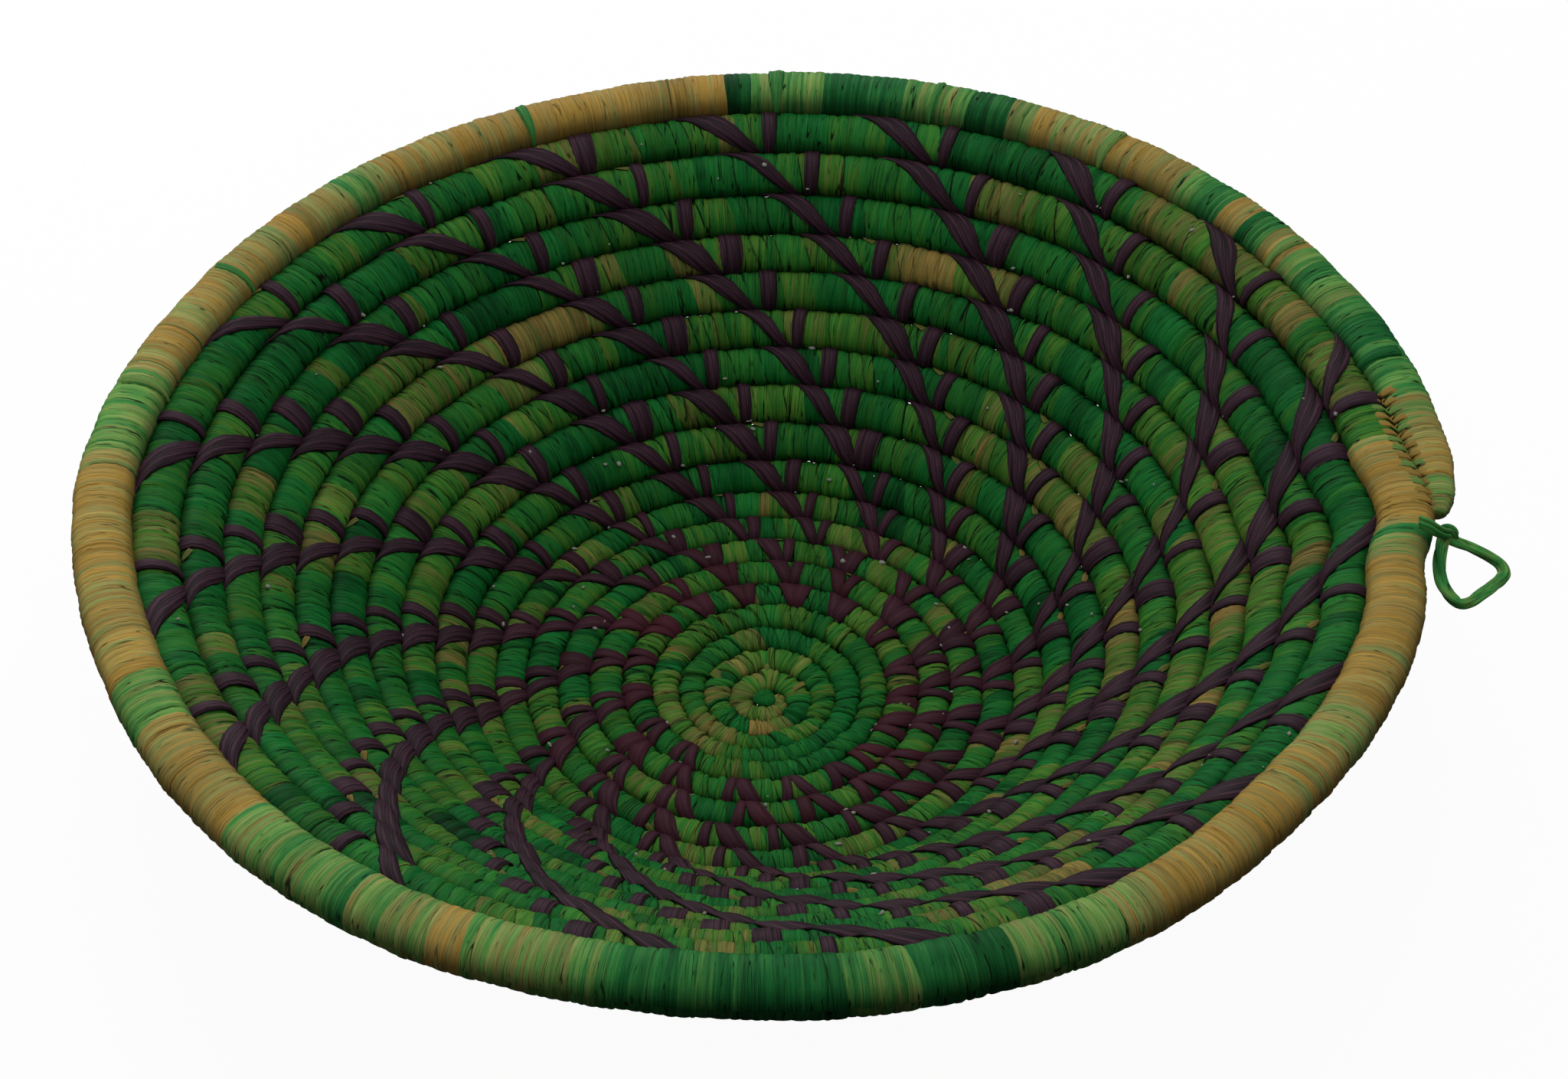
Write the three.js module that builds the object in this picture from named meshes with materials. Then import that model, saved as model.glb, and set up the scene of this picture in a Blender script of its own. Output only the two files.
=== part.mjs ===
// Coiled raffia bowl: one long bound strand wound into a bowl, sewn with plum stitches,
// its last turn bound as a rim, with a small hanging loop that swings at the rim.
// Millimetres, +Z up, origin at the middle of the resting base.
import * as THREE from 'three';

// Bowl, seen as the underside of its wall from the middle outwards
const baseFlatRadius = 31;
const heelRise = 2.4;
const wallAngle = 38.1;
const shelfHeight = 58;
const shelfWidth = 15.93;
const rimRadius = 150;
const baseBlend = 4;
const heelBlend = 9;
const shelfBlend = 10;
const profileSteps = 600;

// How far the handmade wall is from round and level at the rim, in lobes round the bowl, each
// with the angles where it is highest and widest. Inside trueRadius the base is round and flat.
const trueRadius = 40;
const wallWaves = [
  { lobes: 2, rise: 4.7, highestAt: 86, reach: 1.4, widestAt: 101 },
  { lobes: 3, rise: 0.7, highestAt: 49, reach: 2.3, widestAt: 31 },
];

// Strand: width at each distance along the underside from the middle
const strandWidths = [
  { distance: 0, width: 4.6 },
  { distance: 17, width: 4.9 },
  { distance: 36, width: 6.4 },
  { distance: 62, width: 6.7 },
  { distance: 82, width: 8.5 },
  { distance: 125, width: 8.5 },
  { distance: 152, width: 9.9 },
  { distance: 170, width: 11.8 },
];
const turnGap = 0.9;
const shoulder = 0.55;
const flatness = 0.88;
const stepsPerTurn = 24;
const firstTurn = 0.75;
const tailAngle = -8;

// Tail: the strand thins out at its outer end and ends a little past tailAngle
const tailTipTurn = 3 / 360;
const tailFullTurn = 30 / 360;
const tailWidth = 6.6;

// Rim binding: sleeves of raffia round the last turn
const bindingThickness = 0.8;
const bindingClearance = 0.36;
const sleeveGap = 0.6;
const stepInAngle = 0.6;
const bindingStretches = [
  { name: 'tail_binding', steps: 2, colour: 0x8c8440 },
  { name: 'rim_binding_01', steps: 1, colour: 0x5f8a3c },
  { name: 'rim_binding_02', steps: 1, colour: 0x9a8440 },
  { name: 'rim_binding_03', steps: 3, colour: 0x6f8a3e },
  { name: 'rim_binding_04', steps: 2, colour: 0x8f7535 },
  { name: 'rim_binding_05', steps: 1, colour: 0x557f3a },
  { name: 'rim_binding_06', steps: 1, colour: 0x8f7a3a },
  { name: 'rim_binding_07', steps: 2, colour: 0x4f7f3c },
  { name: 'rim_binding_08', steps: 2, colour: 0x8a7638 },
  { name: 'rim_binding_09', steps: 5, colour: 0x3f6e35 },
  { name: 'rim_binding_10', steps: 3, colour: 0x8a7a3a },
  { name: 'loop_binding', steps: 1, colour: 0x2f7a3c },
  { name: 'rim_binding_11', steps: 1, colour: 0x7d8040 },
];

// Plum stitches lie on lines that cross the turns: the angle of each line just below the rim,
// and how far the lines drift back with each turn inwards. Nearer the middle there are fewer.
const stitchLines = [
  12.5, 31.5, 51, 70.5, 90, 110, 129, 148.5, 169.5, 191, 212.5, 235, 258.5, 279, 297, 314, 331.5, 352,
];
const innerStitchLines = [6, 21, 40, 57, 74, 98, 122, 143, 166, 188, 211, 233, 256, 281, 303, 326, 347];
const stitchDrift = 5;
const outerRounds = 12;
const allRounds = 15;
const lastStitchTurn = 15.7;
const stitchThickness = 0.5;
const stitchClearance = 0.32;
const stitchReachShare = 0.5;
const stitchWidth = 3.9;
const stitchNotch = 1.1;
const stitchSlantAngle = 9.5;
const carriedWidth = 0.9;

// Seam where the tail is sewn to the turn beneath it
const seamStitches = 10;
const seamFirstTurn = 4.5 / 360;
const seamPitchTurn = 1.15 / 360;
const seamClearance = 0.6;
const seamInnerShare = 0.12;
const seamReachShare = 0.45;

// Knot that closes the start of the strand
const knotCapRadius = 4.4;
const knotCapThickness = 1.1;
const knotStemRadius = 1.0;
const knotSides = 12;

// Hanging loop, in the frame of its hinge: u along the rim, v outwards, w up
const loopAngle = -10.7;
const loopThickness = 2.8;
const loopSides = 8;
const loopClearance = 0.7;
const loopDroop = 15;
const loopKnotPlace = 8.7;
const loopKnotRadius = 2.6;
const loopSteps = 34;
const loopPoints = [
  [5.75, 0], [2.5, 0], [-1, 0], [-4.5, 0], [-7.6, 0.1], [-9.4, 0.8], [-10.1, 2.3], [-9.3, 4],
  [-7.2, 6.4], [-4.2, 9.2], [-1.2, 11.8], [1.6, 13.7], [3.8, 14.2], [5.6, 13.2], [6.6, 11.2],
  [7.3, 8.6], [7.9, 6], [8.5, 2.95],
];
const anchorThickness = 2.4;
const anchorSides = 8;
const anchorSteps = 8;
const anchorPoints = [
  [10.8, -6.2, 6.9], [11.3, -4, 6.9], [12.2, -2.3, 5.7], [12.9, -1, 3.7], [12.5, -0.4, 1.9], [11.35, -0.25, 1.25],
];

const colours = { strand: 0x2c7a34, plum: 0x3a2430, knot: 0x5f7a34, seam: 0x8a7f42, loop: 0x2f8a3c };
const radians = THREE.MathUtils.degToRad;
const lerp = THREE.MathUtils.lerp;

// Underside outline of the wall as a path in (radius, height), its corners rounded
function undersidePath() {
  const shelfRadius = rimRadius - shelfWidth;
  const heelRadius = shelfRadius - (shelfHeight - heelRise) / Math.tan(radians(wallAngle));
  const corners = [
    new THREE.Vector2(0, 0),
    new THREE.Vector2(baseFlatRadius, 0),
    new THREE.Vector2(heelRadius, heelRise),
    new THREE.Vector2(shelfRadius, shelfHeight),
    new THREE.Vector2(rimRadius, shelfHeight),
  ];
  const blends = [0, baseBlend, heelBlend, shelfBlend, 0];
  const path = new THREE.Path();
  path.moveTo(corners[0].x, corners[0].y);
  for (let i = 1; i < corners.length - 1; i++) {
    const before = corners[i - 1].clone().sub(corners[i]).setLength(blends[i]).add(corners[i]);
    const after = corners[i + 1].clone().sub(corners[i]).setLength(blends[i]).add(corners[i]);
    path.lineTo(before.x, before.y);
    path.quadraticCurveTo(corners[i].x, corners[i].y, after.x, after.y);
  }
  path.lineTo(rimRadius, shelfHeight);
  return path;
}

function strandHalfWidth(distance) {
  const last = strandWidths.length - 1;
  let i = 0;
  while (i < last - 1 && distance > strandWidths[i + 1].distance) i++;
  const a = strandWidths[i];
  const b = strandWidths[i + 1];
  const share = THREE.MathUtils.clamp((distance - a.distance) / (b.distance - a.distance), 0, 1);
  return lerp(a.width, b.width, share) / 2;
}

// The middle of the strand along the wall, with how many turns lie between it and the middle:
// each turn moves outwards by the strand's own width and a small gap
function windStrand() {
  const path = undersidePath();
  const points = path.getSpacedPoints(profileSteps);
  const length = path.getLength();
  const samples = [];
  let turns = 0;
  for (let i = 0; i <= profileSteps; i++) {
    const slope = path.getTangentAt(i / profileSteps);
    const half = strandHalfWidth(length * i / profileSteps);
    const r = points[i].x - slope.y * half * flatness;
    const z = points[i].y + slope.x * half * flatness;
    if (i > 0) {
      const step = Math.hypot(r - samples[i - 1].r, z - samples[i - 1].z);
      turns += step / (half + samples[i - 1].half + turnGap);
    }
    samples.push({ turns, r, z, slope: Math.atan2(slope.y, slope.x), half });
  }
  return samples;
}

const winding = windStrand();
const totalTurns = winding[winding.length - 1].turns;

// Moves a place on the strand off the round and level shape, more towards the rim
function bendWall(place) {
  const share = Math.max(0, (place.r - trueRadius) / (rimRadius - trueRadius));
  for (const { lobes, rise, highestAt, reach, widestAt } of wallWaves) {
    place.z += share ** 2 * rise * Math.cos(lobes * (place.angle - radians(highestAt)));
    place.r += share * reach * Math.cos(lobes * (place.angle - radians(widestAt)));
  }
}

// Strand at a number of turns inwards from the tail
function strandAt(turnsIn) {
  const wanted = totalTurns - turnsIn;
  let i = Math.min(winding.length - 2, Math.max(0, Math.floor(wanted / totalTurns * profileSteps)));
  while (i > 0 && winding[i].turns > wanted) i--;
  while (i < winding.length - 2 && winding[i + 1].turns < wanted) i++;
  const a = winding[i];
  const b = winding[i + 1];
  const share = (wanted - a.turns) / (b.turns - a.turns);
  const place = { angle: radians(tailAngle + 360 * turnsIn) };
  for (const key of ['r', 'z', 'slope', 'half']) place[key] = lerp(a[key], b[key], share);
  if (turnsIn < tailFullTurn) {
    const full = place.half;
    const grown = (turnsIn - tailTipTurn) / (tailFullTurn - tailTipTurn);
    place.half = lerp(tailWidth / 2, full, THREE.MathUtils.clamp(grown, 0, 1));
    place.r -= full - place.half;
  }
  bendWall(place);
  return place;
}

// A point beside the strand's middle: across is outwards along the wall, lift is off the wall
function besideStrand(place, across, lift) {
  const r = place.r + across * Math.cos(place.slope) - lift * Math.sin(place.slope);
  const z = place.z + across * Math.sin(place.slope) + lift * Math.cos(place.slope);
  return new THREE.Vector3(r * Math.cos(place.angle), r * Math.sin(place.angle), z);
}

// The same beside the strand as it is built, straight between its stations
function besideBuiltStrand(turnsIn, across, lift) {
  const step = turnsIn * stepsPerTurn;
  const a = strandAt(Math.floor(step) / stepsPerTurn);
  const b = strandAt((Math.floor(step) + 1) / stepsPerTurn);
  const share = step - Math.floor(step);
  const from = besideStrand(a, across * a.half, flatness * a.half + lift);
  const to = besideStrand(b, across * b.half, flatness * b.half + lift);
  return from.lerp(to, share);
}

// Six corners of the strand, flat above and below, smaller by a margin all round
function section(turnsIn, margin) {
  const step = turnsIn * stepsPerTurn;
  const share = step - Math.floor(step);
  const corners = [[1, 0], [shoulder, -flatness], [-shoulder, -flatness], [-1, 0], [-shoulder, flatness],
    [shoulder, flatness]];
  const ends = [Math.floor(step), Math.ceil(step)].map((s) => {
    const place = strandAt(s / stepsPerTurn);
    const half = place.half - margin;
    return corners.map(([across, lift]) => besideStrand(place, across * half, lift * half));
  });
  return ends[0].map((corner, i) => corner.lerp(ends[1][i], share));
}

// Closed body through rings of points, with flat ends; a second list of rings makes it hollow
function sweep(rings, bore) {
  const positions = [];
  const triangle = (a, b, c) => positions.push(...a.toArray(), ...b.toArray(), ...c.toArray());
  const quad = (a, b, c, d) => {
    triangle(a, b, c);
    triangle(a, c, d);
  };
  const sides = rings[0].length;
  const last = rings.length - 1;
  for (let j = 0; j < last; j++) {
    for (let i = 0; i < sides; i++) {
      const k = (i + 1) % sides;
      quad(rings[j][i], rings[j][k], rings[j + 1][k], rings[j + 1][i]);
      if (bore) quad(bore[j][k], bore[j][i], bore[j + 1][i], bore[j + 1][k]);
    }
  }
  for (let i = 0; i < sides; i++) {
    const k = (i + 1) % sides;
    if (bore) {
      quad(rings[0][k], rings[0][i], bore[0][i], bore[0][k]);
      quad(rings[last][i], rings[last][k], bore[last][k], bore[last][i]);
    } else if (i > 0 && i < sides - 1) {
      triangle(rings[0][0], rings[0][k], rings[0][i]);
      triangle(rings[last][0], rings[last][i], rings[last][k]);
    }
  }
  const geometry = new THREE.BufferGeometry();
  geometry.setAttribute('position', new THREE.Float32BufferAttribute(positions, 3));
  geometry.computeVertexNormals();
  return geometry;
}

// The whole strand: one unbroken tube from the tail to the middle, thinner inside the rim binding
function strandStations() {
  const boundSteps = bindingStretches.reduce((sum, stretch) => sum + stretch.steps, 0);
  const boundEnd = boundSteps / stepsPerTurn;
  const stations = [{ turnsIn: tailTipTurn, bound: true }];
  const lastStep = Math.floor((totalTurns - firstTurn) * stepsPerTurn);
  for (let step = 1; step <= lastStep; step++) {
    const turnsIn = step / stepsPerTurn;
    stations.push({ turnsIn, bound: turnsIn <= boundEnd });
    if (step === boundSteps) stations.push({ turnsIn: turnsIn + stepInAngle / 360, bound: false });
  }
  return stations;
}

function makeStrand() {
  const stations = strandStations();
  const margin = bindingThickness + bindingClearance;
  const rings = stations.map(({ turnsIn, bound }) => section(turnsIn, bound ? margin : 0));
  printLeastGap(stations, rings);
  return sweep(rings);
}

// Least distance between corners of the strand and of the turn next to it
function printLeastGap(stations, rings) {
  let least = Infinity;
  stations.forEach(({ turnsIn }, i) => {
    const next = stations.findIndex((other) => Math.abs(other.turnsIn - turnsIn - 1) < 0.5 / stepsPerTurn);
    if (next < 0) return;
    for (const a of rings[i]) for (const b of rings[next]) least = Math.min(least, a.distanceTo(b));
  });
  const turns = stations[stations.length - 1].turnsIn;
  console.log(`strand: ${turns.toFixed(1)} turns, least gap to itself ${least.toFixed(2)} mm`);
}

function makeSleeve(firstStep, steps) {
  const start = Math.max(firstStep / stepsPerTurn, tailTipTurn);
  const end = (firstStep + steps) / stepsPerTurn;
  const gapTurn = sleeveGap / 2 / (2 * Math.PI * rimRadius);
  const turns = [firstStep === 0 ? start : start + gapTurn];
  for (let step = firstStep + 1; step < firstStep + steps; step++) turns.push(step / stepsPerTurn);
  turns.push(end - gapTurn);
  const outer = turns.map((turn) => section(turn, 0));
  const bore = turns.map((turn) => section(turn, bindingThickness));
  return sweep(outer, bore);
}

// Ribbon laid along a zigzag: each corner has a left and a right edge, given as laid points
function makeRibbon(corners, layPoint, clearance) {
  const rings = corners.map(({ left, right }) => {
    const top = clearance + stitchThickness;
    return [
      layPoint(right, clearance),
      layPoint(left, clearance),
      layPoint(left, top),
      layPoint(right, top),
    ];
  });
  return sweep(rings);
}

// Where one round of stitches sits, in turns inwards from the tail
function stitchTurns(round) {
  const lines = round < outerRounds ? stitchLines : innerStitchLines;
  const turns = lines.map((line) => 1 + ((line + 360 * round) / (1 + stitchDrift / 360) - tailAngle) / 360);
  return turns.filter((turnsIn) => turnsIn < lastStitchTurn);
}

// One round of plum stitches: each slants down to its foot, goes straight up again and is
// carried on along the outer groove to the next, so that a round's stitches are one strip
function makePlumRound(round) {
  const corners = [];
  for (const turnsIn of stitchTurns(round).reverse()) {
    const { r, half } = strandAt(turnsIn);
    const band = stitchWidth / 2;
    const reach = stitchReachShare * half;
    const at = (x, y) => ({ turnsIn: turnsIn - x / (2 * Math.PI * r), across: y / half });
    const run = radians(stitchSlantAngle) * r;
    corners.push({ left: at(-run + band, reach), right: at(-run - band, reach - carriedWidth) });
    corners.push({ left: at(-band / 4, stitchNotch - reach), right: at(0, -reach) });
    corners.push({ left: at(-band, reach), right: at(band, reach - carriedWidth) });
  }
  return makeRibbon(corners, ({ turnsIn, across }, lift) => besideBuiltStrand(turnsIn, across, lift),
    stitchClearance);
}

// Zigzag lacing across the groove between the tail and the turn beneath it
function makeSeam() {
  const corners = [];
  for (let i = seamStitches; i >= 0; i--) {
    const onTail = seamFirstTurn + i * seamPitchTurn;
    const onNext = onTail + 1 - seamPitchTurn / 2;
    corners.push({
      left: { turnsIn: onTail, across: -seamInnerShare },
      right: { turnsIn: onTail, across: -seamReachShare },
    });
    corners.push({
      left: { turnsIn: onNext, across: seamReachShare },
      right: { turnsIn: onNext, across: seamInnerShare },
    });
  }
  return makeRibbon(corners, ({ turnsIn, across }, lift) => besideBuiltStrand(turnsIn, across, lift),
    seamClearance);
}

function makeCentreKnot() {
  const start = strandAt(totalTurns - firstTurn);
  const capBase = start.z + flatness * start.half + stitchClearance;
  const outline = [
    new THREE.Vector2(0, 0),
    new THREE.Vector2(knotStemRadius, 0),
    new THREE.Vector2(knotStemRadius, capBase),
    new THREE.Vector2(knotCapRadius, capBase),
    new THREE.Vector2(knotCapRadius * 0.8, capBase + knotCapThickness),
    new THREE.Vector2(0, capBase + knotCapThickness),
  ];
  const geometry = new THREE.LatheGeometry(outline, knotSides);
  geometry.rotateX(Math.PI / 2);
  return geometry;
}

// Frame of the loop's hinge: its axis runs along the rim, just clear of it
function loopFrame() {
  const turnsIn = 1 + (loopAngle - tailAngle) / 360;
  const rim = strandAt(turnsIn);
  const out = new THREE.Vector3(Math.cos(radians(loopAngle)), Math.sin(radians(loopAngle)), 0);
  const along = new THREE.Vector3(-out.y, out.x, 0);
  const distance = rim.r + rim.half + loopClearance + loopThickness / 2;
  const origin = out.clone().multiplyScalar(distance).setZ(rim.z);
  return { origin, out, along };
}

function inLoopFrame([u, v, w]) {
  const { origin, out, along } = loopFrame();
  return origin.clone().addScaledVector(along, u).addScaledVector(out, v).add(new THREE.Vector3(0, 0, w));
}

function loopRoute() {
  const droop = radians(loopDroop);
  const points = loopPoints.map(([u, v]) => inLoopFrame([u, v * Math.cos(droop), -v * Math.sin(droop)]));
  return new THREE.CatmullRomCurve3(points, false, 'centripetal');
}

function roundTube(curve, thickness, sides, steps) {
  const round = new THREE.Shape();
  for (let i = 0; i < sides; i++) {
    const angle = 2 * Math.PI * i / sides;
    const x = Math.cos(angle) * thickness / 2;
    const y = Math.sin(angle) * thickness / 2;
    if (i === 0) round.moveTo(x, y);
    else round.lineTo(x, y);
  }
  return new THREE.ExtrudeGeometry(round, { steps, bevelEnabled: false, extrudePath: curve });
}

function makeAnchor() {
  const curve = new THREE.CatmullRomCurve3(anchorPoints.map(inLoopFrame), false, 'centripetal');
  return roundTube(curve, anchorThickness, anchorSides, anchorSteps);
}

function makeLoopKnot() {
  const geometry = new THREE.SphereGeometry(loopKnotRadius, 10, 6);
  const place = inLoopFrame([loopKnotPlace, 0, 0]);
  geometry.translate(place.x, place.y, place.z);
  return geometry;
}

const basket = new THREE.Group();

function addPiece(name, geometry, colour) {
  const material = new THREE.MeshStandardMaterial({ color: colour, roughness: 0.75, metalness: 0 });
  const mesh = new THREE.Mesh(geometry, material);
  mesh.name = name;
  basket.add(mesh);
}

addPiece('bound_strand', makeStrand(), colours.strand);
addPiece('centre_knot', makeCentreKnot(), colours.knot);
let step = 0;
for (const stretch of bindingStretches) {
  addPiece(stretch.name, makeSleeve(step, stretch.steps), stretch.colour);
  step += stretch.steps;
}
for (let round = 0; round < allRounds; round++) {
  const number = String(round + 1).padStart(2, '0');
  addPiece(`plum_stitches_round_${number}`, makePlumRound(round), colours.plum);
}
addPiece('tail_seam', makeSeam(), colours.seam);
addPiece('loop_anchor', makeAnchor(), colours.loop);
addPiece('loop_knot', makeLoopKnot(), colours.loop);
addPiece('hanging_loop', roundTube(loopRoute(), loopThickness, loopSides, loopSteps), colours.loop);

const hinge = loopFrame();
console.log('loop hinge at', hinge.origin.toArray().map((x) => x.toFixed(3)).join(' '),
  'along', hinge.along.toArray().map((x) => x.toFixed(6)).join(' '));
console.log('loop length', loopRoute().getLength().toFixed(2), 'total turns', totalTurns.toFixed(2));

export default basket;
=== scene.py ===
import math
import random

import bmesh
import bpy
import numpy as np
from mathutils import Matrix, Vector


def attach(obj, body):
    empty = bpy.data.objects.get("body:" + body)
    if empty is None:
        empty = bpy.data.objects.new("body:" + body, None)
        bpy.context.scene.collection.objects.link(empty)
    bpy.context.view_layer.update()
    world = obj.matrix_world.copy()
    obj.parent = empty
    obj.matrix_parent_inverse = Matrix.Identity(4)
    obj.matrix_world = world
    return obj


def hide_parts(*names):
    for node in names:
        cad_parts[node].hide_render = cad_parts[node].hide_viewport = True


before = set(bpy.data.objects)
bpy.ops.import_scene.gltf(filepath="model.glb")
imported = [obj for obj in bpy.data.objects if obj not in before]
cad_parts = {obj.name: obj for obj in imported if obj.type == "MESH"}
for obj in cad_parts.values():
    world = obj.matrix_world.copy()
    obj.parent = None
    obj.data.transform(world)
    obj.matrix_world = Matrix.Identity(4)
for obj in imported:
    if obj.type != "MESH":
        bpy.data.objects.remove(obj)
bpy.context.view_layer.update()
mm = 0.001
scene = bpy.context.scene
print("frame:", len(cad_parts), "solids")


# the camera looks down into the bowl from its front
cameraSettings = {
    "place": (0.0, -518.77, 511.2),  # mm
    "yaw": 0.00985,
    "pitch": 0.72835,
    "roll": -0.00374,
    "lens": 72.73,
    "sensor": 36.0,
}


def makeCamera(settings):
    data = bpy.data.cameras.new("camera")
    data.lens = settings["lens"]
    data.sensor_width = settings["sensor"]
    data.clip_start = 0.01
    data.clip_end = 20
    yaw = settings["yaw"]
    pitch = settings["pitch"]
    roll = settings["roll"]
    look = Vector((math.sin(yaw) * math.cos(pitch), math.cos(yaw) * math.cos(pitch), -math.sin(pitch)))
    level = Vector((math.cos(yaw), -math.sin(yaw), 0))
    up = level.cross(look)
    across = level * math.cos(roll) + up * math.sin(roll)
    upright = up * math.cos(roll) - level * math.sin(roll)
    camera = bpy.data.objects.new("camera", data)
    turned = Matrix((across, upright, -look)).transposed()
    camera.matrix_world = Matrix.Translation(Vector(settings["place"]) * mm) @ turned.to_4x4()
    scene.collection.objects.link(camera)
    scene.camera = camera


makeCamera(cameraSettings)
print("camera placed")


# The wound strand, repeated from the part's own measures, in millimetres
wallShape = {
    "baseFlatRadius": 31.0,
    "heelRise": 2.4,
    "wallAngle": 38.1,
    "shelfHeight": 58.0,
    "shelfWidth": 15.93,
    "rimRadius": 150.0,
    "blends": (4.0, 9.0, 10.0),
    "trueRadius": 40.0,  # inside this the bowl is round, and outside it the waves grow towards the rim
    "waves": (
        {"lobes": 2, "rise": 4.7, "highestAt": 86, "reach": 1.4, "widestAt": 101},
        {"lobes": 3, "rise": 0.7, "highestAt": 49, "reach": 2.3, "widestAt": 31},
    ),
}
strandShape = {
    "distances": (0, 17, 36, 62, 82, 125, 152, 170),
    "widths": (4.6, 4.9, 6.4, 6.7, 8.5, 8.5, 9.9, 11.8),
    "turnGap": 0.9,
    "flatness": 0.88,
    "firstTurn": 0.3,
    "tailAngle": -8.0,
    "tailTipTurn": 6 / 360,
    "tailTipRound": 6.0,  # degrees
    "tailTipShare": 0.25,  # of its width, at the very tip
    "tailFullTurn": 30 / 360,
    "tailWidth": 6.6,
    "swell": 0.6,  # the wrapped turns touch, so each is this much wider than its solid
    "centreSwell": 0.25,  # and this much more in the middle
    "squareness": 2.25,
}
# Where the used basket departs from its regular shape, in mm: how far the turns have settled into the
# bowl, and how far the rim is pushed in at these angles
wornShape = {
    "turns": (0.92, 1.25, 3, 5, 7, 9, 11, 13, 15),
    "settled": (0, 1.8, 1.5, 1.0, 0.9, 0.3, 0.3, 0.6, 0),
    "rimInset": 0.4,
    "rimFade": (0.94, 1.08),  # turns in from the tail over which what was done to the rim fades out
    "dents": [
        {"at": 8, "reach": 8, "depth": -1.2},
        {"at": 27, "reach": 12, "depth": 0.6}, {"at": 125, "reach": 10, "depth": -0.7},
        {"at": 152, "reach": 10, "depth": 0.7}, {"at": 176, "reach": 10, "depth": -0.6},
        {"at": 200, "reach": 14, "depth": 0.8}, {"at": 260, "reach": 14, "depth": 1.3},
        {"at": 298, "reach": 12, "depth": -0.6}, {"at": 316, "reach": 12, "depth": 1.0},
    ],
    "bulges": [
        {"at": -1.5, "reach": 5, "out": 3.0}, {"at": -15, "reach": 13, "out": 1.4},
        {"at": -8.5, "reach": 3.5, "out": -0.9},  # pressed in where the loop swings
    ],
    "bulgeTurns": (0, 1, 2, 3, 4, 5, 6, 7),  # how much of the bulges by the tail each turn follows
    "bulgeShares": (0.8, 1, 1, 0.85, 0.62, 0.4, 0.2, 0),
    "centreShift": np.array((0.5, -4.6)),  # how far the first turns lie off the middle
    "centreReach": (5, 27),
}
stepsPerTurn = 24
rimTurns = 25 / stepsPerTurn  # how far in from the tail the rim's binding runs
fullHalf = 4.2  # mm, half the width of a turn of the wall
lowest = 0.02  # mm, pressed flat where the basket stands


# running total of steps, from 0
def runningTotal(steps):
    return np.concatenate(([0], np.cumsum(steps)))


# distance along a path at each of its points
def pathLength(path):
    return runningTotal(np.linalg.norm(np.diff(path, axis=0), axis=1))


# the bowl's underside from the middle out, as distances along it and points of radius and height
def undersideOutline(shape):
    shelfRadius = shape["rimRadius"] - shape["shelfWidth"]
    slope = math.tan(math.radians(shape["wallAngle"]))
    heelRadius = shelfRadius - (shape["shelfHeight"] - shape["heelRise"]) / slope
    corners = [
        np.array((0.0, 0.0)),
        np.array((shape["baseFlatRadius"], 0.0)),
        np.array((heelRadius, shape["heelRise"])),
        np.array((shelfRadius, shape["shelfHeight"])),
        np.array((shape["rimRadius"], shape["shelfHeight"])),
    ]
    outline = [corners[0]]
    for i, blend in enumerate(shape["blends"], start=1):
        corner = corners[i]
        ways = [(end - corner) / np.linalg.norm(end - corner) for end in (corners[i - 1], corners[i + 1])]
        before, after = (corner + way * blend for way in ways)
        for t in np.linspace(0, 1, 24):
            outline.append(before * (1 - t) ** 2 + corner * 2 * t * (1 - t) + after * t * t)
    outline.append(corners[-1])
    outline = np.array(outline)
    run = pathLength(outline)
    distance = np.linspace(0, run[-1], 1200)
    return distance, np.stack([np.interp(distance, run, outline[:, axis]) for axis in (0, 1)], axis=1)


# the strand's middle, its lean and its half width, against turns from the middle
def windStrand(wall, strand):
    distance, under = undersideOutline(wall)
    slope = np.gradient(under, distance, axis=0)
    slope /= np.linalg.norm(slope, axis=1)[:, None]
    half = np.interp(distance, strand["distances"], strand["widths"]) / 2
    r = under[:, 0] - slope[:, 1] * half * strand["flatness"]
    z = under[:, 1] + slope[:, 0] * half * strand["flatness"]
    step = np.hypot(np.diff(r), np.diff(z)) / (half[1:] + half[:-1] + strand["turnGap"])
    return {"turns": runningTotal(step), "r": r, "z": z, "slope": np.arctan2(slope[:, 1], slope[:, 0]),
            "half": half}


winding = windStrand(wallShape, strandShape)
totalTurns = winding["turns"][-1]


# how far the used basket bulges outwards by the tail
def bulge(turnsIn, angle):
    out = 0
    for push in wornShape["bulges"]:
        away = ((np.degrees(angle) - push["at"] + 180) % 360 - 180) / push["reach"]
        out = out + push["out"] * np.exp(-away ** 2)
    return out * np.interp(turnsIn, wornShape["bulgeTurns"], wornShape["bulgeShares"])


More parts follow.
